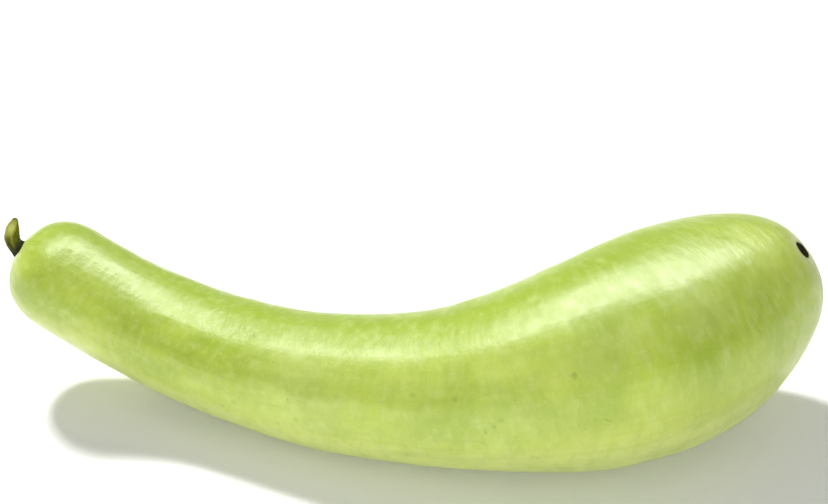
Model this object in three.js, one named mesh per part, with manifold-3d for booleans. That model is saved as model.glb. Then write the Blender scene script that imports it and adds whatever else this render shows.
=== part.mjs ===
// A bottle gourd of the long, club-shaped kind, lying on its side as it was set down.
// The fruit grew as one piece: a slim neck that swells into a fat blossom end, bent in a shallow bow.
// A cut length of ribbed stalk stands on the neck, and a small corky scar marks where the flower was.
import * as THREE from 'three';
import { NURBSCurve } from 'three/addons/curves/NURBSCurve.js';
import { mergeVertices } from 'three/addons/utils/BufferGeometryUtils.js';
import Module from 'manifold-3d';

// All lengths are in millimetres, and +Z is up.

// The fruit's middle line runs smoothly past these points, from the tip of the neck to the blossom end,
// and the rind's radius follows the same steps. The neck's end and the blossom end stand clear of the
// table, and the underside touches it at the waist and again under the bulb.
const FORM = [
  { part: 'neck tip', middle: [-177, 67, 65], radius: 25.5 },
  { part: 'neck end', middle: [-131.5, 54.5, 38.5], radius: 26 },
  { part: 'neck', middle: [-81.5, 31, 28], radius: 27.3 },
  { part: 'waist', middle: [-29, 7, 28.5], radius: 31 },
  { part: 'shoulder', middle: [25, -5.5, 34.5], radius: 34.4 },
  { part: 'upper bulb', middle: [71, -6.5, 44], radius: 45.1 },
  { part: 'bulb', middle: [111.5, 8.5, 47.5], radius: 50.5 },
  { part: 'bulb end', middle: [148, 36.5, 50.5], radius: 49.2 },
  { part: 'blossom tip', middle: [187, 53.5, 72], radius: 42.5 },
];
// How far each end is rounded off, measured along the middle line, and how blunt it is: 2 is a true ellipse
const NECK_ROUNDING = { length: 26, bluntness: 2.3 };
const BLOSSOM_ROUNDING = { length: 93, bluntness: 2.6 };
const FRUIT_RINGS = 60;
const FRUIT_SIDES = 48;
// Draws the rings closer together at the two ends, from 0 for even steps towards 1
const RING_CROWDING = 0.88;

// The stalk: its mean radius at each height above the skin, where heights below 0 are cut to fit the neck
const STALK_OUTLINE = [
  { height: -2.5, radius: 4.7 },
  { height: -0.6, radius: 4.4 },
  { height: 0.8, radius: 4 },
  { height: 2.6, radius: 3.6 },
  { height: 5.5, radius: 3.5 },
  { height: 9, radius: 3.6 },
  { height: 12.5, radius: 3.4 },
  { height: 17, radius: 3 },
];
const STALK_RIBS = 5;
const STALK_RIB_DEPTH = 0.28;
const STALK_LOBE_DEPTH = 0.7;
const STALK_LOBE_HEIGHT = 4;
const STALK_SIDES = 30;
const STALK_RINGS = 13;
// The stalk leaves the neck square to the skin and bends upright. Its line runs past these points, which
// are measured from the middle of its foot.
const STALK_LINE = [
  [2.1, -0.6, -1.2],
  [0, 0, 0],
  [-2.6, 0.9, 1.7],
  [-3.8, 2, 4.5],
  [-3.9, 3.1, 8],
  [-3.5, 4.2, 11.6],
  [-2.8, 5.2, 15.4],
];
// The knife's slanting cut across the top: a point on it, from the middle of the foot, and the way it faces
const STALK_CUT_POINT = [-3.7, 4, 11.6];
const STALK_CUT_FACING = [-0.5, -0.25, 0.83];
// The block that takes the top off reaches well past the stalk on all sides
const OFFCUT_SIZE = 60;

// The scar of the flower: a corky disc let into the skin, with a raised rim and a small nub in its hollow.
// The blossom end grew a little lopsided, so the scar sits short of the tip: this far back along the middle
// line, and this many degrees round from the top towards the outer side of the bow.
const SCAR_SET_BACK = 5.5;
const SCAR_TURN = 44;
// The skin is drawn in around the scar, and is level with the rest again well past the reach
const SCAR_DIP = { depth: 0.8, reach: 8 };
const SCAR_RADIUS = 4.4;
const SCAR_DEPTH = 1.6;
// From the middle of its back round the rim and the hollow to the nub: radius, and height above the skin
const SCAR_OUTLINE = [
  [0, -SCAR_DEPTH],
  [3.7, -SCAR_DEPTH],
  [SCAR_RADIUS, -0.8],
  [SCAR_RADIUS, 0],
  [3.4, 0.7],
  [2.1, 0.1],
  [0.9, 0.1],
  [0.6, 1],
  [0, 1],
];
const SCAR_SIDES = 24;
const SCAR_LOBES = 5;
const SCAR_LOBE_DEPTH = 0.25;

// Clearance between pieces that touch
const GAP = 0.3;
// Steps that are small enough to measure a slope of the skin by: a length, and an angle in radians
const SMALL_STEP = 0.1;
const SMALL_TURN = 0.01;

const wasm = await Module();
wasm.setup();

const UP = new THREE.Vector3(0, 0, 1);

// The directions at a place: across is level, and over stands square to it and to the given way along
function directionsAt(centre, along) {
  const across = new THREE.Vector3().crossVectors(along, UP).normalize();
  const over = new THREE.Vector3().crossVectors(across, along);
  return { centre, along, across, over };
}

function sectionAt(line, fraction) {
  return directionsAt(line.getPointAt(fraction), line.getTangentAt(fraction));
}

// A smooth curve that runs past its points, and starts and ends on the first and last of them
function smoothCurve(points) {
  const degree = 3;
  const spans = points.length - degree;
  const inner = Array.from({ length: spans + 1 }, (_, i) => i / spans);
  const knots = [...Array(degree).fill(0), ...inner, ...Array(degree).fill(1)];
  const curve = new NURBSCurve(degree, knots, points.map((p) => new THREE.Vector4(...p, 1)));
  curve.arcLengthDivisions = 1000;
  return curve;
}

// One closed skin: shared corners are merged, and triangles that the ends pinch to nothing are dropped
function closedSkin(geometry) {
  const bare = new THREE.BufferGeometry();
  bare.setAttribute('position', geometry.getAttribute('position'));
  bare.setIndex(geometry.getIndex());
  const merged = mergeVertices(bare, 1e-4);
  const corners = merged.getIndex().array;
  const kept = [];
  for (let i = 0; i < corners.length; i += 3) {
    const [a, b, c] = corners.subarray(i, i + 3);
    if (a !== b && b !== c && c !== a) kept.push(a, b, c);
  }
  merged.setIndex(kept);
  merged.computeVertexNormals();
  return merged;
}

// Bends a lathed body, whose axis is +Y, along a line: its height becomes the distance along the line
function bendAlong(geometry, line, start = 0) {
  const length = line.getLength();
  const position = geometry.getAttribute('position');
  const corner = new THREE.Vector3();
  for (let i = 0; i < position.count; i += 1) {
    corner.fromBufferAttribute(position, i);
    const fraction = THREE.MathUtils.clamp((corner.y - start) / length, 0, 1);
    const section = sectionAt(line, fraction);
    const place = section.centre
      .addScaledVector(section.across, corner.x)
      .addScaledVector(section.over, corner.z);
    position.setXYZ(i, place.x, place.y, place.z);
  }
  return geometry;
}

// Moves a skin outwards by the same amount all over
function swell(geometry, amount) {
  const swollen = geometry.clone();
  const position = swollen.getAttribute('position');
  const normal = swollen.getAttribute('normal');
  for (let i = 0; i < position.count; i += 1) {
    position.setXYZ(
      i,
      position.getX(i) + normal.getX(i) * amount,
      position.getY(i) + normal.getY(i) * amount,
      position.getZ(i) + normal.getZ(i) * amount,
    );
  }
  return swollen;
}

function toSolid(geometry) {
  return new wasm.Manifold(new wasm.Mesh({
    numProp: 3,
    vertProperties: new Float32Array(geometry.getAttribute('position').array),
    triVerts: new Uint32Array(geometry.getIndex().array),
  }));
}

function fromSolid(solid) {
  const mesh = solid.getMesh();
  const geometry = new THREE.BufferGeometry();
  geometry.setAttribute('position', new THREE.BufferAttribute(mesh.vertProperties, 3));
  geometry.setIndex(new THREE.BufferAttribute(mesh.triVerts, 1));
  geometry.computeVertexNormals();
  return geometry;
}

// How much of the full radius is left at a distance from an end that is rounded off
function rounding(distance, { length, bluntness }) {
  if (distance >= length) return 1;
  const inset = 1 - distance / length;
  return Math.max(0, 1 - inset ** bluntness) ** (1 / bluntness);
}

const middleLine = smoothCurve(FORM.map((station) => station.middle));
const girth = smoothCurve(FORM.map((station) => [station.radius, 0, 0]));

// The rind's radius at a fraction of the middle line's length
function rindRadius(fraction) {
  const fromNeck = fraction * middleLine.getLength();
  const fromBlossom = middleLine.getLength() - fromNeck;
  const full = girth.getPoint(middleLine.getUtoTmapping(fraction)).x;
  return full * rounding(fromNeck, NECK_ROUNDING) * rounding(fromBlossom, BLOSSOM_ROUNDING);
}

// The place on the skin this far back from the blossom tip, and turned this far round from the top
function skinPlace(fromBlossom, turn) {
  const fraction = 1 - fromBlossom / middleLine.getLength();
  const section = sectionAt(middleLine, fraction);
  const radius = rindRadius(fraction);
  return section.centre
    .addScaledVector(section.across, radius * Math.sin(turn))
    .addScaledVector(section.over, radius * Math.cos(turn));
}

// Where the scar sits, in the bottom of its dip, and the way it faces, square to the skin
function findScarSeat() {
  const turn = THREE.MathUtils.degToRad(SCAR_TURN);
  const centre = skinPlace(SCAR_SET_BACK, turn);
  const inward = skinPlace(SCAR_SET_BACK + SMALL_STEP, turn).sub(centre);
  const round = skinPlace(SCAR_SET_BACK, turn + SMALL_TURN).sub(centre);
  const facing = new THREE.Vector3().crossVectors(inward, round).normalize();
  return directionsAt(centre.addScaledVector(facing, -SCAR_DIP.depth), facing);
}

// The fruit before anything is let into it: turned from tip to tip, bent, drawn in around the scar, and
// flat where it bears its weight
function fruitSkin(scarSeat) {
  const profile = [];
  for (let ring = 0; ring <= FRUIT_RINGS; ring += 1) {
    const step = ring / FRUIT_RINGS;
    const fraction = step - RING_CROWDING * Math.sin(2 * Math.PI * step) / (2 * Math.PI);
    profile.push(new THREE.Vector2(rindRadius(fraction), fraction * middleLine.getLength()));
  }
  const skin = bendAlong(new THREE.LatheGeometry(profile, FRUIT_SIDES), middleLine);
  const position = skin.getAttribute('position');
  const corner = new THREE.Vector3();
  for (let i = 0; i < position.count; i += 1) {
    corner.fromBufferAttribute(position, i);
    const away = corner.distanceTo(scarSeat.centre) / SCAR_DIP.reach;
    corner.addScaledVector(scarSeat.along, -SCAR_DIP.depth * Math.exp(-(away ** 2)));
    position.setXYZ(i, corner.x, corner.y, Math.max(0, corner.z));
  }
  return closedSkin(skin);
}

// The mean radius of the stalk at a height above the skin
function stalkRadius(height) {
  const above = STALK_OUTLINE.findIndex((section) => section.height >= height);
  const high = STALK_OUTLINE[Math.max(1, above)];
  const low = STALK_OUTLINE[Math.max(1, above) - 1];
  return THREE.MathUtils.mapLinear(height, low.height, high.height, low.radius, high.radius);
}

// The ribbed stalk, its foot spread in lobes over the skin and its top cut off at a slant
function stalkSolid(foot, skin) {
  const line = smoothCurve(STALK_LINE);
  const lowest = STALK_OUTLINE[0].height;
  const highest = STALK_OUTLINE[STALK_OUTLINE.length - 1].height;
  const profile = [new THREE.Vector2(0, lowest)];
  for (let ring = 0; ring <= STALK_RINGS; ring += 1) {
    const height = THREE.MathUtils.lerp(lowest, highest, ring / STALK_RINGS);
    profile.push(new THREE.Vector2(stalkRadius(height), height));
  }
  profile.push(new THREE.Vector2(0, highest));
  const turned = new THREE.LatheGeometry(profile, STALK_SIDES);
  const position = turned.getAttribute('position');
  for (let i = 0; i < position.count; i += 1) {
    const x = position.getX(i);
    const z = position.getZ(i);
    const radius = Math.hypot(x, z);
    if (radius > 0) {
      const nearFoot = THREE.MathUtils.clamp(1 - position.getY(i) / STALK_LOBE_HEIGHT, 0, 1);
      const depth = STALK_RIB_DEPTH + STALK_LOBE_DEPTH * nearFoot ** 2;
      const ribbed = 1 + depth * Math.cos(STALK_RIBS * Math.atan2(x, z)) / radius;
      position.setXYZ(i, x * ribbed, position.getY(i), z * ribbed);
    }
  }
  const bent = closedSkin(bendAlong(turned, line, lowest));
  bent.translate(foot.x, foot.y, foot.z);
  const facing = new THREE.Vector3(...STALK_CUT_FACING).normalize();
  const offcut = new THREE.BoxGeometry(OFFCUT_SIZE, OFFCUT_SIZE, OFFCUT_SIZE);
  offcut.translate(0, 0, OFFCUT_SIZE / 2);
  offcut.applyQuaternion(new THREE.Quaternion().setFromUnitVectors(UP, facing));
  offcut.translate(...STALK_CUT_POINT);
  offcut.translate(foot.x, foot.y, foot.z);
  const whole = toSolid(bent);
  return whole.subtract(toSolid(closedSkin(offcut))).subtract(toSolid(swell(skin, GAP)));
}

// The scar's disc, which stands on +Y with the skin at height 0, and is drawn in a little between its lobes
function scarDisc() {
  const profile = SCAR_OUTLINE.map(([radius, height]) => new THREE.Vector2(radius, height));
  const disc = new THREE.LatheGeometry(profile, SCAR_SIDES);
  const position = disc.getAttribute('position');
  for (let i = 0; i < position.count; i += 1) {
    const x = position.getX(i);
    const z = position.getZ(i);
    const wave = 0.5 + 0.5 * Math.cos(SCAR_LOBES * Math.atan2(x, z));
    const drawnIn = 1 - SCAR_LOBE_DEPTH * wave / SCAR_RADIUS;
    position.setXYZ(i, x * drawnIn, position.getY(i), z * drawnIn);
  }
  return closedSkin(disc);
}

// Moves a body that stands on +Y to a place, and turns it to stand the way that the place faces
function standAt(place, geometry) {
  const turned = new THREE.Matrix4().makeBasis(place.across, place.along, place.over);
  return geometry.applyMatrix4(turned.setPosition(place.centre));
}

function rindMaterial() {
  return new THREE.MeshStandardMaterial({ color: 0xb7d069, roughness: 0.4, metalness: 0 });
}

function stalkMaterial() {
  return new THREE.MeshStandardMaterial({ color: 0x6f7030, roughness: 0.8, metalness: 0 });
}

function corkMaterial() {
  return new THREE.MeshStandardMaterial({ color: 0x3d2f16, roughness: 0.9, metalness: 0 });
}

function namedMesh(name, geometry, material) {
  const mesh = new THREE.Mesh(geometry, material);
  mesh.name = name;
  return mesh;
}

const scarSeat = findScarSeat();
const skin = fruitSkin(scarSeat);
const scarSocket = standAt(scarSeat, closedSkin(new THREE.CylinderGeometry(
  SCAR_RADIUS + GAP,
  SCAR_RADIUS + GAP,
  2 * (SCAR_DEPTH + GAP),
  SCAR_SIDES,
)));
const fruit = toSolid(skin).subtract(toSolid(scarSocket));
const stalk = stalkSolid(middleLine.getPointAt(0), skin);

const gourd = new THREE.Group();
gourd.add(namedMesh('gourd_fruit', fromSolid(fruit), rindMaterial()));
gourd.add(namedMesh('stem_stub', fromSolid(stalk), stalkMaterial()));
gourd.add(namedMesh('blossom_scar', standAt(scarSeat, scarDisc()), corkMaterial()));

// The origin is on the table, under the middle of the whole gourd
const extent = new THREE.Box3().setFromObject(gourd);
const middle = extent.getCenter(new THREE.Vector3());
gourd.position.set(-middle.x, -middle.y, -extent.min.z);
gourd.updateMatrixWorld(true);

export default gourd;
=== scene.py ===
import math

import bpy
from mathutils import Euler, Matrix, Quaternion, Vector, noise


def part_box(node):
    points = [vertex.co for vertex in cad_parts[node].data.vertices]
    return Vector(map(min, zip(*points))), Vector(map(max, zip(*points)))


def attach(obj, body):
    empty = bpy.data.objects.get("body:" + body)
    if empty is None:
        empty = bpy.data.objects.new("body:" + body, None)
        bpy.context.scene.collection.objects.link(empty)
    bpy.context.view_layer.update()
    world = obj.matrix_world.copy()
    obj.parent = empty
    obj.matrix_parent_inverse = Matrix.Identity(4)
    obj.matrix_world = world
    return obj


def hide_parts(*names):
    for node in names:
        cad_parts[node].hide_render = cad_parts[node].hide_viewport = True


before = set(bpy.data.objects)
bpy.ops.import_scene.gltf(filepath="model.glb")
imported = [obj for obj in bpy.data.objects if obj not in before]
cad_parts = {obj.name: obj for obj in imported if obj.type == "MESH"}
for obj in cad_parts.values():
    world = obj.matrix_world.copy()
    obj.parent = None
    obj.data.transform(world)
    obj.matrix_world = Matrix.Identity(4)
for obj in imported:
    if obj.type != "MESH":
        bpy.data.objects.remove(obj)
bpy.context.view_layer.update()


# The camera looks down on the gourd at 30 degrees, as in the photograph.
CAMERA_PLACE = Vector((0.0031, -0.6086, 0.442))
CAMERA_DOWN = math.radians(30)
CAMERA_LENS = 70.0
CAMERA_SENSOR = 36.0

camera_turn = Euler((math.pi / 2 - CAMERA_DOWN, 0, 0))
bpy.ops.object.camera_add(location=CAMERA_PLACE, rotation=camera_turn)
camera = bpy.context.object
camera.data.lens = CAMERA_LENS
camera.data.sensor_width = CAMERA_SENSOR
bpy.context.scene.camera = camera


# The rind. The real fruit grew as one piece, soft white flesh under a thin waxy skin, so the skin is all
# that is modelled: a slim neck that swells into a fat blossom end. It has shallow dents and faint
# lengthwise ridges, puckers round the stalk, and lies on two flat spots of its own.

# The middle line is drawn towards these points, from the neck tip to the blossom tip, with the radius there
GOURD_LINE = [
    ((-0.1819, 0.0474, 0.0650), 0.0255),
    ((-0.1364, 0.0349, 0.0385), 0.0260),
    ((-0.0864, 0.0114, 0.0280), 0.0273),
    ((-0.0339, -0.0126, 0.0285), 0.0310),
    ((0.0201, -0.0251, 0.0345), 0.0344),
    ((0.0661, -0.0261, 0.0440), 0.0451),
    ((0.1066, -0.0111, 0.0475), 0.0505),
    ((0.1431, 0.0169, 0.0505), 0.0492),
    ((0.1821, 0.0339, 0.0720), 0.0425),
]
NECK_ROUNDING = (0.026, 2.3)
BLOSSOM_ROUNDING = (0.093, 2.6)
RIND_SIDES = 48
RIND_RINGS = 72
RING_CROWDING = 0.90
RIND_SOFTENING = 2
LINE_STEPS = 48

# The lengthwise ridges: their number, their height as a share of the radius, how far from either end they
# fade in, and how far their wave shifts as it runs along, in radians, over about this length
RIDGES = 11
RIDGE_HEIGHT = 0.004
RIDGE_FADE = 0.05
RIDGE_WANDER = 3
RIDGE_WANDER_LENGTH = 0.12
# The puckers round the stalk, which start this far from it
PUCKERS = 5
PUCKER_HEIGHT = 0.00045
PUCKER_START = 0.004
PUCKER_REACH = 0.010
# The dents and the finer ripples of the skin
DENT_SIZE = 0.050
DENT_DEPTH = 0.0016
RIPPLE_SIZE = 0.012
RIPPLE_DEPTH = 0.00035
# The skin is drawn in around the scar of the flower, rises in a low lip, and drops into the scar's socket
SCAR_FACING = Vector((0.687, -0.106, 0.719)).normalized()
DIP_DEPTH = 0.0008
DIP_REACH = 0.008
LIP_HEIGHT = 0.0003
LIP_RADIUS = 0.0056
LIP_WIDTH = 0.0011
SOCKET_DEPTH = 0.0014
SOCKET_RADIUS = 0.0044
SOCKET_EDGE = 0.0010
# The streaks of the skin are laid out as if the gourd were a straight rod of this radius
ROD_RADIUS = 0.038


def fresh_start():
    """Leaves edit mode and selects nothing, before a new piece is begun."""
    if bpy.context.object is not None and bpy.context.object.mode != "OBJECT":
        bpy.ops.object.mode_set(mode="OBJECT")
    bpy.ops.object.select_all(action="DESELECT")


def pick(piece):
    """Makes this piece the only one selected, and the active one."""
    fresh_start()
    piece.select_set(True)
    bpy.context.view_layer.objects.active = piece


def draw_line(name, points):
    """A smooth line drawn towards the points, each a place with a radius, to bend a straight piece along."""
    fresh_start()
    bpy.ops.curve.primitive_nurbs_path_add()
    line = bpy.context.object
    line.name = name
    spline = line.data.splines[0]
    spline.points.add(len(points) - len(spline.points))
    for point, (place, radius) in zip(spline.points, points):
        point.co = (*place, 1.0)
        point.radius = radius
    spline.order_u = 4
    spline.use_endpoint_u = True
    spline.resolution_u = LINE_STEPS
    line.data.twist_mode = "MINIMUM"
    return line


def bend_along(piece, line):
    """Bends an upright piece along the line, which its foot starts on, and takes the line away."""
    pick(piece)
    bpy.ops.object.modifier_add(type="CURVE")
    bend = piece.modifiers[-1]
    bend.object = line
    bend.deform_axis = "POS_Z"
    bpy.ops.object.modifier_apply(modifier=bend.name)
    pick(line)
    bpy.ops.object.delete()


def subdivide_smoothly(piece, levels):
    pick(piece)
    bpy.ops.object.modifier_add(type="SUBSURF")
    softener = piece.modifiers[-1]
    softener.levels = levels
    softener.render_levels = levels
    bpy.ops.object.modifier_apply(modifier=softener.name)


def roughen(piece, size, depth):
    """Pushes the skin in and out by a cloudy pattern with lumps of this size."""
    pick(piece)
    pattern = bpy.data.textures.new(f"{piece.name}_lumps", "CLOUDS")
    pattern.noise_scale = size
    pattern.noise_depth = 1
    bpy.ops.object.modifier_add(type="DISPLACE")
    push = piece.modifiers[-1]
    push.texture = pattern
    push.texture_coords = "LOCAL"
    push.strength = depth
    push.mid_level = 0.5
    bpy.ops.object.modifier_apply(modifier=push.name)


def close_up(piece, nearest=1e-6):
    """Merges corners nearer than this, turns every face outwards and shades the piece smooth."""
    pick(piece)
    bpy.ops.object.mode_set(mode="EDIT")
    bpy.ops.mesh.select_all(action="SELECT")
    bpy.ops.mesh.remove_doubles(threshold=nearest)
    bpy.ops.mesh.normals_make_consistent(inside=False)
    bpy.ops.object.mode_set(mode="OBJECT")
    bpy.ops.object.shade_smooth()


def raise_rings(sides, outline):
    """Makes an upright closed body: a ring, drawn up to each further height and radius, and capped."""
    fresh_start()
    height, radius = outline[0]
    bpy.ops.mesh.primitive_circle_add(vertices=sides, radius=radius, location=(0, 0, 0))
    piece = bpy.context.object
    bpy.ops.object.mode_set(mode="EDIT")
    bpy.ops.mesh.select_all(action="SELECT")
    bpy.ops.transform.translate(value=(0, 0, height))
    bpy.ops.mesh.edge_face_add()
    for next_height, next_radius in outline[1:]:
        bpy.ops.mesh.extrude_region_move(TRANSFORM_OT_translate={"value": (0, 0, next_height - height)})
        spread = next_radius / radius
        bpy.ops.transform.resize(value=(spread, spread, 1), center_override=(0, 0, next_height))
        height, radius = next_height, next_radius
    bpy.ops.object.mode_set(mode="OBJECT")
    return piece


def rounding(distance, shape):
    """The share of the full radius that is left at this distance from an end that is rounded off."""
    length, bluntness = shape
    if distance >= length:
        return 1.0
    return (1 - (1 - distance / length) ** bluntness) ** (1 / bluntness)


def bell(distance, reach):
    """1 at no distance, falling smoothly to nothing well past the reach."""
    return math.exp(-((distance / reach) ** 2))


gourd_line = draw_line("gourd_line", GOURD_LINE)
gourd_length = gourd_line.data.splines[0].calc_length()
outline = []
for ring in range(1, RIND_RINGS):
    step = ring / RIND_RINGS
    distance = gourd_length * (step - RING_CROWDING * math.sin(2 * math.pi * step) / (2 * math.pi))
    share = rounding(distance, NECK_ROUNDING) * rounding(gourd_length - distance, BLOSSOM_ROUNDING)
    outline.append((distance, share))
rind = raise_rings(RIND_SIDES, outline)
rind.name = "rind"
subdivide_smoothly(rind, RIND_SOFTENING)
rind.data.attributes.new("along_rod", "FLOAT_VECTOR", "POINT")
rind.data.attributes.new("from_scar", "FLOAT", "POINT")
rind.data.attributes.new("facing_up", "FLOAT", "POINT")
along_rod = rind.data.attributes["along_rod"]
for number, corner in enumerate(rind.data.vertices):
    share = math.hypot(corner.co.x, corner.co.y)
    angle = math.atan2(corner.co.y, corner.co.x)
    distance = corner.co.z
    along_rod.data[number].vector = (ROD_RADIUS * math.cos(angle), ROD_RADIUS * math.sin(angle), distance)
    neck_way = math.hypot(share * GOURD_LINE[0][1], distance)
    fade = share * (1 - bell(neck_way, RIDGE_FADE)) * (1 - bell(gourd_length - distance, RIDGE_FADE))
    wander = RIDGE_WANDER * noise.noise(Vector((distance / RIDGE_WANDER_LENGTH, 4.0, 2.0)))
    ridge = 1 + RIDGE_HEIGHT * fade * math.cos(RIDGES * angle + wander)
    corner.co.x *= ridge
    corner.co.y *= ridge
    fold = math.cos(PUCKERS * angle) * min(1.0, neck_way / PUCKER_START)
    corner.co.z += PUCKER_HEIGHT * fold * bell(neck_way, PUCKER_REACH)
bend_along(rind, gourd_line)
roughen(rind, DENT_SIZE, DENT_DEPTH)
roughen(rind, RIPPLE_SIZE, RIPPLE_DEPTH)
scar_low, scar_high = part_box("blossom_scar")
scar_place = (scar_low + scar_high) / 2
from_scar = rind.data.attributes["from_scar"]
for number, corner in enumerate(rind.data.vertices):
    away = (corner.co - scar_place).length
    from_scar.data[number].value = away
    drawn_in = DIP_DEPTH * bell(away, DIP_REACH) - LIP_HEIGHT * bell(away - LIP_RADIUS, LIP_WIDTH)
    drawn_in += SOCKET_DEPTH * min(1.0, max(0.0, (SOCKET_RADIUS - away) / SOCKET_EDGE))
    corner.co -= drawn_in * SCAR_FACING
    # What would sink into the table is pressed flat
    corner.co.z = max(0.0, corner.co.z)
close_up(rind)
facing_up = rind.data.attributes["facing_up"]
for number, corner in enumerate(rind.data.vertices):
    facing_up.data[number].value = corner.normal.z


class Finish:
    """A material's nodes, added and joined one step at a time."""

    def __init__(self, name):
        self.material = bpy.data.materials.new(name)
        self.material.use_nodes = True
        self.nodes = self.material.node_tree.nodes
        self.links = self.material.node_tree.links
        self.shader = self.nodes["Principled BSDF"]

    def set(self, socket, value):
        self.shader.inputs[socket].default_value = value

    def join(self, source, node, socket):
        self.links.new(source, node.inputs[socket])

    def place(self):
        return self.nodes.new("ShaderNodeTexCoord").outputs["Object"]

    def grown(self, name, output):
        """What the mesh itself holds under this name, from when the piece was shaped."""
        attribute = self.nodes.new("ShaderNodeAttribute")
        attribute.attribute_name = name
        return attribute.outputs[output]

    def near(self, place, point, reach, most):
        """The given share at this point of the skin, falling to nothing at the reach."""
        apart = self.nodes.new("ShaderNodeVectorMath")
        apart.operation = "DISTANCE"
        self.join(place, apart, 0)
        apart.inputs[1].default_value = point
        return self.between(apart.outputs["Value"], 0.0, reach, most, 0.0)

    def height(self, place):
        parts = self.nodes.new("ShaderNodeSeparateXYZ")
        self.join(place, parts, "Vector")
        return parts.outputs["Z"]

    def stretched(self, place, scale, shift=(0, 0, 0)):
        """The place scaled and shifted, so that a pattern on it is drawn out where the scale is small."""
        mapping = self.nodes.new("ShaderNodeMapping")
        mapping.inputs["Scale"].default_value = scale
        mapping.inputs["Location"].default_value = shift
        self.join(place, mapping, "Vector")
        return mapping.outputs["Vector"]

    def cloud(self, place, scale, detail=3.0, roughness=0.5, distortion=0.0):
        texture = self.nodes.new("ShaderNodeTexNoise")
        texture.inputs["Scale"].default_value = scale
        texture.inputs["Detail"].default_value = detail
        texture.inputs["Roughness"].default_value = roughness
        texture.inputs["Distortion"].default_value = distortion
        self.join(place, texture, "Vector")
        return texture.outputs["Fac"]

    def cells(self, place, scale):
        """How far each point is from the middle of its cell, in a pattern of small cells."""
        texture = self.nodes.new("ShaderNodeTexVoronoi")
        texture.inputs["Scale"].default_value = scale
        self.join(place, texture, "Vector")
        return texture.outputs["Distance"]

    def between(self, value, low, high, to_low=0.0, to_high=1.0):
        """Goes smoothly from one share to the other as the value goes from low to high."""
        mapped = self.nodes.new("ShaderNodeMapRange")
        mapped.inputs["From Min"].default_value = low
        mapped.inputs["From Max"].default_value = high
        mapped.inputs["To Min"].default_value = to_low
        mapped.inputs["To Max"].default_value = to_high
        mapped.interpolation_type = "SMOOTHSTEP"
        self.join(value, mapped, "Value")
        return mapped.outputs["Result"]

    def times(self, first, second):
        product = self.nodes.new("ShaderNodeMath")
        product.operation = "MULTIPLY"
        self.join(first, product, 0)
        self.join(second, product, 1)
        return product.outputs[0]

    def tinted(self, under, over, share):
        """One colour laid over another: each is a colour or a socket, and share is a socket."""
        mix = self.nodes.new("ShaderNodeMix")
        mix.data_type = "RGBA"
        self.join(share, mix, "Factor")
        for name, colour in (("A", under), ("B", over)):
            socket = [s for s in mix.inputs if s.name == name and s.type == "RGBA"][0]
            if isinstance(colour, tuple):
                socket.default_value = (*colour, 1.0)
            else:
                self.links.new(colour, socket)
        return [s for s in mix.outputs if s.type == "RGBA"][0]

    def raised(self, height, distance, strength=1.0, below=None):
        """Relief from a pattern, on top of the relief below it where there is one."""
        bump = self.nodes.new("ShaderNodeBump")
        bump.inputs["Distance"].default_value = distance
        bump.inputs["Strength"].default_value = strength
        self.join(height, bump, "Height")
        if below is not None:
            self.join(below, bump, "Normal")
        return bump.outputs["Normal"]


# Colours of the rind, in linear light
RIND_GREEN = (0.515, 0.645, 0.062)
RIND_DEEP = (0.295, 0.415, 0.012)
# Deeper green of the top: partly its own colour, partly painted shade
RIND_TOP_GREEN_AND_SHADE = (0.305, 0.440, 0.011)
RIND_YELLOW = (0.52, 0.58, 0.08)
RIND_PALE = (0.62, 0.72, 0.24)
# Pale underside: partly its own colour, partly painted light thrown up from the table
RIND_BELLY_PALE_AND_LIT = (0.66, 0.74, 0.21)
RIND_TAN = (0.40, 0.34, 0.12)
RIND_BRUISE = (0.16, 0.24, 0.02)
RIND_CROWN = (0.58, 0.62, 0.22)
# The width and height of the photograph in pixels, of which a mark gives the column and row of its middle
PHOTO_SIZE = (828, 504)
# Patches laid over the rind, partly darker rind and partly painted light: the deeper ones on the fat end and
# the neck tip are partly painted shade, the pale ones along the middle are a painted highlight that widens
# the shine, and the green one at the top of the fat end takes the painted top shade away there. Each gives
# the colour, the middle, the reach and the most that it covers
RIND_PATCHES_AND_PAINTED_LIGHT = [
    (RIND_DEEP, (710, 360), 0.036, 0.82),
    (RIND_DEEP, (780, 325), 0.036, 0.84),
    (RIND_DEEP, (815, 300), 0.030, 0.45),
    (RIND_DEEP, (40, 300), 0.030, 0.50),
    (RIND_GREEN, (775, 250), 0.050, 0.90),
    (RIND_PALE, (300, 370), 0.038, 0.40),
    (RIND_PALE, (405, 370), 0.034, 0.20),
    (RIND_PALE, (500, 380), 0.036, 0.24),
    (RIND_PALE, (600, 350), 0.032, 0.22),
    (RIND_PALE, (700, 300), 0.024, 0.34),
]
# Small healed nicks of the skin: the middle and the reach of each
NICKS = [
    ((234, 402), 0.0025),
    ((223, 406), 0.0015),
    ((296, 420), 0.0018),
    ((278, 423), 0.0014),
    ((501, 420), 0.0021),
    ((494, 427), 0.0016),
    ((413, 395), 0.0023),
    ((455, 399), 0.0021),
    ((407, 455), 0.0017),
]
NICK_SHARE = 0.30


def shown_at(piece, pixel):
    """The point of the piece's skin that the photograph shows at this pixel, given by its column and row."""
    width, height = PHOTO_SIZE
    column, row = pixel
    depth = width * CAMERA_LENS / CAMERA_SENSOR
    sight = Vector((column - width / 2, height / 2 - row, -depth)).normalized()
    sight.rotate(camera_turn)
    return piece.ray_cast(CAMERA_PLACE, sight)[1]


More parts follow.
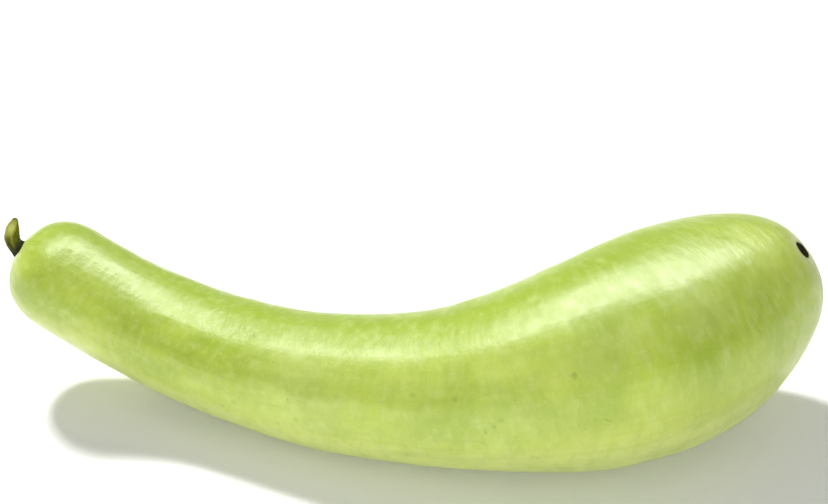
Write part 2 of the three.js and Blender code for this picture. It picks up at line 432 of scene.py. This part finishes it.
def rind_finish(skin):
    finish = Finish("waxy_rind")
    rod = finish.grown("along_rod", "Vector")
    place = finish.place()
    # Broad patches that ripened in more or less light
    patches = finish.between(finish.cloud(place, 22.0, detail=3.0, roughness=0.6), 0.40, 0.66, 0.0, 0.55)
    colour = finish.tinted(RIND_GREEN, RIND_DEEP, patches)
    yellowed = finish.between(finish.cloud(place, 13.0, detail=2.0, distortion=0.6), 0.48, 0.70, 0.0, 0.45)
    colour = finish.tinted(colour, RIND_YELLOW, yellowed)
    # Broad darker bands that run the length of the fruit
    bands = finish.cloud(finish.stretched(rod, (1.0, 1.0, 0.22), (0.4, 0.1, 0.3)), 42.0, detail=2.0)
    colour = finish.tinted(colour, RIND_DEEP, finish.between(bands, 0.45, 0.68, 0.0, 0.40))
    # Deeper green towards the top and paler towards the underside: partly the fruit's own colour, from
    # growing in the sun and lying on the ground, and partly painted shade on the top and painted light from
    # the table on the underside
    facing = finish.grown("facing_up", "Fac")
    colour = finish.tinted(colour, RIND_TOP_GREEN_AND_SHADE, finish.between(facing, 0.55, 1.0, 0.0, 0.85))
    colour = finish.tinted(colour, RIND_BELLY_PALE_AND_LIT, finish.between(facing, -0.55, 0.15, 0.85, 0.0))
    # Patches: partly deeper rind, partly painted shade on the fat end and neck tip, a painted highlight
    # along the middle and painted light at the top of the fat end
    for patch_colour, pixel, reach, most in RIND_PATCHES_AND_PAINTED_LIGHT:
        patch = finish.near(place, shown_at(skin, pixel), reach, most)
        colour = finish.tinted(colour, patch_colour, patch)
    # Soft mottling, finer and finer, drawn out a little round the fruit
    roundwise = finish.stretched(rod, (0.7, 0.7, 1.3))
    mottles = finish.cloud(roundwise, 130.0, detail=4.0, roughness=0.65)
    colour = finish.tinted(colour, RIND_DEEP, finish.between(mottles, 0.40, 0.74, 0.0, 0.36))
    elsewhere = finish.stretched(roundwise, (1.0, 1.0, 1.0), (3.0, 1.0, 2.0))
    pale_mottles = finish.cloud(elsewhere, 210.0, detail=4.0)
    colour = finish.tinted(colour, RIND_PALE, finish.between(pale_mottles, 0.40, 0.80, 0.0, 0.36))
    # Lengthwise streaks, which fade out towards the blossom end
    lengthwise = finish.stretched(rod, (1.0, 1.0, 0.14))
    streaks = finish.cloud(lengthwise, 150.0, detail=4.0, roughness=0.6)
    streaks = finish.between(streaks, 0.45, 0.68)
    streak_share = finish.between(finish.height(rod), 0.34, 0.395, 0.20, 0.0)
    colour = finish.tinted(colour, RIND_DEEP, finish.times(streaks, streak_share))
    # Fine pale pores
    pores = finish.cells(finish.stretched(rod, (1.0, 1.0, 0.8)), 900.0)
    colour = finish.tinted(colour, RIND_PALE, finish.between(pores, 0.08, 0.36, 0.16, 0.0))
    # A few rubbed and bruised spots
    rubbed = finish.cloud(finish.stretched(rod, (1.0, 1.0, 0.6)), 70.0, detail=6.0, roughness=0.7)
    colour = finish.tinted(colour, RIND_TAN, finish.between(rubbed, 0.69, 0.77, 0.0, 0.6))
    bruised = finish.cloud(place, 95.0, roughness=0.6, distortion=1.5)
    colour = finish.tinted(colour, RIND_BRUISE, finish.between(bruised, 0.69, 0.76, 0.0, 0.45))
    for pixel, reach in NICKS:
        nick = finish.near(place, shown_at(skin, pixel), reach, NICK_SHARE)
        colour = finish.tinted(colour, RIND_BRUISE, nick)
    # The skin is pale and yellowish where the stalk and the flower grew
    colour = finish.tinted(colour, RIND_CROWN, finish.between(finish.height(rod), 0.0004, 0.0045, 0.6, 0.0))
    scar_way = finish.grown("from_scar", "Fac")
    colour = finish.tinted(colour, RIND_CROWN, finish.between(scar_way, 0.005, 0.011, 0.8, 0.0))
    finish.join(colour, finish.shader, "Base Color")
    waxiness = finish.between(finish.cloud(place, 140.0, detail=5.0), 0.3, 0.7, 0.33, 0.47)
    finish.join(waxiness, finish.shader, "Roughness")
    finish.set("Specular IOR Level", 0.9)
    finish.set("Coat Weight", 0.35)
    finish.set("Coat Roughness", 0.30)
    finish.set("Subsurface Weight", 0.12)
    finish.set("Subsurface Radius", (0.004, 0.006, 0.002))
    finish.set("Subsurface Scale", 1.0)
    grain = finish.raised(finish.cloud(roundwise, 650.0), 0.0002, 0.45)
    furrows = finish.raised(finish.cloud(lengthwise, 210.0, detail=3.0), 0.0005, 0.35, grain)
    relief = finish.raised(finish.cloud(roundwise, 170.0), 0.0008, 0.45, furrows)
    finish.join(relief, finish.shader, "Normal")
    return finish.material


# The marks are found on the finished skin, so Blender is told of its last changes first
bpy.context.view_layer.update()
rind.data.materials.append(rind_finish(rind))
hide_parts("gourd_fruit")
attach(rind, "root")


# The stalk. The real one is a stub of the vine, green wood with five ribs, grown out of the neck tip on a
# foot of five lobes. It was cut through on a slant, which left a pale fibrous face with a ragged rim.

# The line of the stalk, from inside the neck tip, to bend an upright stalk along
STALK_LINE = [
    (0.0021, -0.0006, -0.0012),
    (0.0, 0.0, 0.0),
    (-0.0026, 0.0009, 0.0017),
    (-0.0038, 0.0020, 0.0045),
    (-0.0039, 0.0031, 0.0080),
    (-0.0035, 0.0042, 0.0116),
    (-0.0028, 0.0052, 0.0154),
]
# Heights along that line, and the radius there
STALK_OUTLINE = [
    (0.0000, 0.0047),
    (0.0010, 0.0046),
    (0.0019, 0.0044),
    (0.0033, 0.0040),
    (0.0051, 0.0036),
    (0.0065, 0.0035),
    (0.0080, 0.0035),
    (0.0097, 0.0036),
    (0.0115, 0.0036),
    (0.0132, 0.0035),
    (0.0150, 0.0032),
    (0.0170, 0.0028),
    (0.0185, 0.0025),
]
STALK_SIDES = 60
STALK_RIBS = 5
STALK_RIB_DEPTH = 0.12
STALK_RIB_SHARPNESS = 1.6
STALK_RIB_MEAN = 0.4
STALK_LOBE_DEPTH = 0.20
STALK_LOBE_HEIGHT = 0.0042
STALK_TURN = math.radians(20)
STALK_TWIST = 25.0
STALK_FIBRES = 30
STALK_FIBRE_DEPTH = 0.012
STALK_FIBRE_TWIST = 400
STALK_LUMP_SIZE = 0.0016
STALK_LUMP_DEPTH = 0.00022
STALK_SOFTENING = 1
STALK_CUT_POINT = Vector((-0.0034, 0.0037, 0.0104))
STALK_CUT_FACING = Vector((-0.55, -0.48, 0.68)).normalized()

neck_tip = Vector(GOURD_LINE[0][0])
stalk = raise_rings(STALK_SIDES, STALK_OUTLINE)
stalk.name = "stalk"
stalk.data.attributes.new("along_stalk", "FLOAT_VECTOR", "POINT")
stalk.data.attributes.new("on_rib", "FLOAT", "POINT")
along_stalk = stalk.data.attributes["along_stalk"]
on_rib = stalk.data.attributes["on_rib"]
for number, corner in enumerate(stalk.data.vertices):
    angle = math.atan2(corner.co.y, corner.co.x)
    height = corner.co.z
    foot = max(0.0, 1 - height / STALK_LOBE_HEIGHT)
    wave = math.cos(STALK_RIBS * (angle - STALK_TURN - STALK_TWIST * height))
    rib = (0.5 + 0.5 * wave) ** STALK_RIB_SHARPNESS
    along_stalk.data[number].vector = (math.cos(angle), math.sin(angle), height)
    on_rib.data[number].value = rib
    fibre = STALK_FIBRE_DEPTH * math.cos(STALK_FIBRES * angle + STALK_FIBRE_TWIST * height)
    swell = 1 + (STALK_RIB_DEPTH + STALK_LOBE_DEPTH * foot) * (rib - STALK_RIB_MEAN) + fibre
    corner.co.x *= swell
    corner.co.y *= swell
stalk_line = draw_line("stalk_line", [(neck_tip + Vector(place), 1.0) for place in STALK_LINE])
bend_along(stalk, stalk_line)

# The knife's cut, and the face that it left: a low rim of bark, then paler wood, then the hollow pith
CUT_STEPS = [(0.86, -0.00015), (0.62, 0.00025), (0.34, -0.0007)]
# No corner of the face lies deeper than this below the cut, and the rim's corners lie this near to it
CUT_DEPTH = 0.0009
RIM_NEARNESS = 1e-5

cut_point = neck_tip + STALK_CUT_POINT
pick(stalk)
bpy.ops.object.mode_set(mode="EDIT")
bpy.ops.mesh.select_all(action="SELECT")
bpy.ops.mesh.bisect(plane_co=cut_point, plane_no=STALK_CUT_FACING, use_fill=True, clear_outer=True)
bpy.ops.object.mode_set(mode="OBJECT")
rim = [v.co for v in stalk.data.vertices if abs((v.co - cut_point).dot(STALK_CUT_FACING)) < RIM_NEARNESS]
rim_middle = (sum(rim, Vector()) / len(rim) + cut_point) / 2
bpy.ops.object.mode_set(mode="EDIT")
reached = 1.0
for share, rise in CUT_STEPS:
    step = rise * STALK_CUT_FACING
    bpy.ops.mesh.extrude_region_move(TRANSFORM_OT_translate={"value": tuple(step)})
    shrink = share / reached
    bpy.ops.transform.resize(value=(shrink, shrink, shrink), center_override=tuple(rim_middle))
    reached = share
bpy.ops.object.mode_set(mode="OBJECT")
stalk.data.attributes.new("from_cut", "FLOAT", "POINT")
from_cut = stalk.data.attributes["from_cut"]
rim_reach = max((place - rim_middle).length for place in rim)
for number, corner in enumerate(stalk.data.vertices):
    across = (corner.co - rim_middle).length / rim_reach
    below = -(corner.co - rim_middle).dot(STALK_CUT_FACING)
    from_cut.data[number].value = across if below < CUT_DEPTH else 1.0
subdivide_smoothly(stalk, STALK_SOFTENING)
roughen(stalk, STALK_LUMP_SIZE, STALK_LUMP_DEPTH)
close_up(stalk)

# Colours of the stalk, in linear light; the pale one is the pale wood by the cut and also a painted
# highlight on the ribs
STALK_GREEN = (0.16, 0.17, 0.010)
STALK_DARK = (0.010, 0.011, 0.0004)
STALK_PALE = (0.34, 0.36, 0.06)
STALK_CUT = (0.58, 0.62, 0.18)


def stalk_finish():
    finish = Finish("stalk_skin")
    stem = finish.grown("along_stalk", "Vector")
    place = finish.place()
    rib = finish.grown("on_rib", "Fac")
    patches = finish.cloud(place, 300.0, detail=4.0)
    # The ribs are drawn paler: a painted highlight along them
    colour = finish.tinted(STALK_GREEN, STALK_PALE, finish.between(rib, 0.35, 0.95, 0.0, 0.5))
    colour = finish.tinted(colour, STALK_DARK, finish.between(patches, 0.46, 0.66, 0.0, 0.6))
    fibres = finish.cloud(finish.stretched(stem, (1.0, 1.0, 60.0)), 9.0, detail=4.0, roughness=0.6)
    colour = finish.tinted(colour, STALK_DARK, finish.between(fibres, 0.45, 0.62, 0.0, 0.5))
    colour = finish.tinted(colour, STALK_DARK, finish.between(finish.height(stem), 0.002, 0.0085, 0.95, 0.0))
    cut = finish.grown("from_cut", "Fac")
    colour = finish.tinted(colour, STALK_PALE, finish.between(cut, 0.50, 0.90, 0.8, 0.0))
    colour = finish.tinted(colour, STALK_CUT, finish.between(cut, 0.10, 0.50, 0.85, 0.0))
    finish.join(colour, finish.shader, "Base Color")
    finish.set("Roughness", 0.65)
    finish.set("Specular IOR Level", 0.12)
    finish.join(finish.raised(fibres, 0.0006, 0.6), finish.shader, "Normal")
    return finish.material


stalk.data.materials.append(stalk_finish())
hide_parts("stem_stub")
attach(stalk, "root")


# The blossom scar. The real one is a dry corky button, left where the flower fell off, with a raised lobed
# rim round a stub of the flower's middle. It is grown into a shallow dip of the rind.

# Heights above the rind and radii of the scar, from its underside up over the rim to the stub
SCAR_OUTLINE = [
    (-0.0016, 0.0037),
    (-0.0008, 0.0044),
    (0.0000, 0.0045),
    (0.0005, 0.0040),
    (0.0007, 0.0034),
    (0.0004, 0.0027),
    (0.0001, 0.0021),
    (0.0001, 0.0012),
    (0.0004, 0.0008),
    (0.0010, 0.0006),
]
SCAR_SIDES = 40
SCAR_LOBES = 5
SCAR_LOBE_DEPTH = 0.04
SCAR_LUMP_SIZE = 0.0012
SCAR_LUMP_DEPTH = 0.0005
SCAR_SOFTENING = 2

scar = raise_rings(SCAR_SIDES, SCAR_OUTLINE)
scar.name = "scar"
for corner in scar.data.vertices:
    angle = math.atan2(corner.co.y, corner.co.x)
    swell = 1 + SCAR_LOBE_DEPTH * math.cos(SCAR_LOBES * angle)
    corner.co.x *= swell
    corner.co.y *= swell
pick(scar)
scar.location = scar_place + SCAR_FACING * (SCAR_OUTLINE[0][0] + SCAR_OUTLINE[-1][0]) / -2
scar.rotation_mode = "QUATERNION"
scar.rotation_quaternion = SCAR_FACING.to_track_quat("Z", "Y")
bpy.ops.object.transform_apply(location=True, rotation=True, scale=False)
subdivide_smoothly(scar, SCAR_SOFTENING)
roughen(scar, SCAR_LUMP_SIZE, SCAR_LUMP_DEPTH)
close_up(scar)

# Colours of the scar, in linear light
SCAR_BROWN = (0.014, 0.010, 0.002)
SCAR_PALE = (0.070, 0.052, 0.014)


def scar_finish():
    finish = Finish("dry_cork")
    place = finish.place()
    patches = finish.cloud(place, 700.0, detail=4.0, roughness=0.65)
    colour = finish.tinted(SCAR_BROWN, SCAR_PALE, finish.between(patches, 0.48, 0.70, 0.0, 0.7))
    finish.join(colour, finish.shader, "Base Color")
    finish.set("Roughness", 0.85)
    finish.set("Specular IOR Level", 0.12)
    finish.join(finish.raised(patches, 0.0006, 0.8), finish.shader, "Normal")
    return finish.material


scar.data.materials.append(scar_finish())
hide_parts("blossom_scar")
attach(scar, "root")


# The table is a plain, dull white sheet, far larger than the view.
FLOOR_SIZE = 8.0
FLOOR_WHITE = (0.90, 0.90, 0.90, 1.0)

fresh_start()
bpy.ops.mesh.primitive_plane_add(size=FLOOR_SIZE, location=(0, 0, 0))
floor = bpy.context.object
floor.name = "floor"
floor_finish = Finish("pale_floor")
floor_finish.set("Base Color", FLOOR_WHITE)
floor_finish.set("Roughness", 0.9)
floor_finish.set("Specular IOR Level", 0.0)
floor.data.materials.append(floor_finish.material)


# Studio light: a small soft box far behind on the left throws the shadow forwards, a broad one above and a
# long one in front fill the shade, and the room is pale. A long box overhead draws the highlight along the
# fruit: it shows in the gloss alone, and is the only box that does.
# Each box has its place, size, turn about its own middle in degrees, watts, and whether the gloss shows it
SOFT_BOXES = [
    ("overhead_box", (0.05, 0.36, 1.30), (2.10, 0.46), 31, 24.5, True),
    ("back_box", (-1.10, 1.75, 2.45), (0.42, 0.32), 0, 110.0, False),
    ("broad_box", (-0.30, -0.60, 1.90), (2.40, 2.40), 0, 3.0, False),
    ("front_box", (0.0, -1.40, 0.66), (1.60, 0.24), 0, 12.0, False),
]
LIGHT_AIM = Vector((0.0, 0.0, 0.04))
ROOM_LIGHT = 0.30
ROOM_WHITE = (1.0, 1.0, 1.0, 1.0)

for name, place, size, turn, watts, in_gloss in SOFT_BOXES:
    bpy.ops.object.light_add(type="AREA", location=place)
    box = bpy.context.object
    box.name = name
    box.data.shape = "RECTANGLE"
    box.data.size, box.data.size_y = size
    box.data.energy = watts
    box.visible_camera = False
    box.visible_glossy = in_gloss
    box.visible_diffuse = not in_gloss
    aimed = (Vector(place) - LIGHT_AIM).to_track_quat("Z", "Y")
    box.rotation_euler = (aimed @ Quaternion((0, 0, 1), math.radians(turn))).to_euler()
world = bpy.data.worlds.new("white_room")
world.use_nodes = True
world.node_tree.nodes["Background"].inputs["Color"].default_value = ROOM_WHITE
world.node_tree.nodes["Background"].inputs["Strength"].default_value = ROOM_LIGHT
bpy.context.scene.world = world
bpy.context.scene.view_settings.view_transform = "Standard"
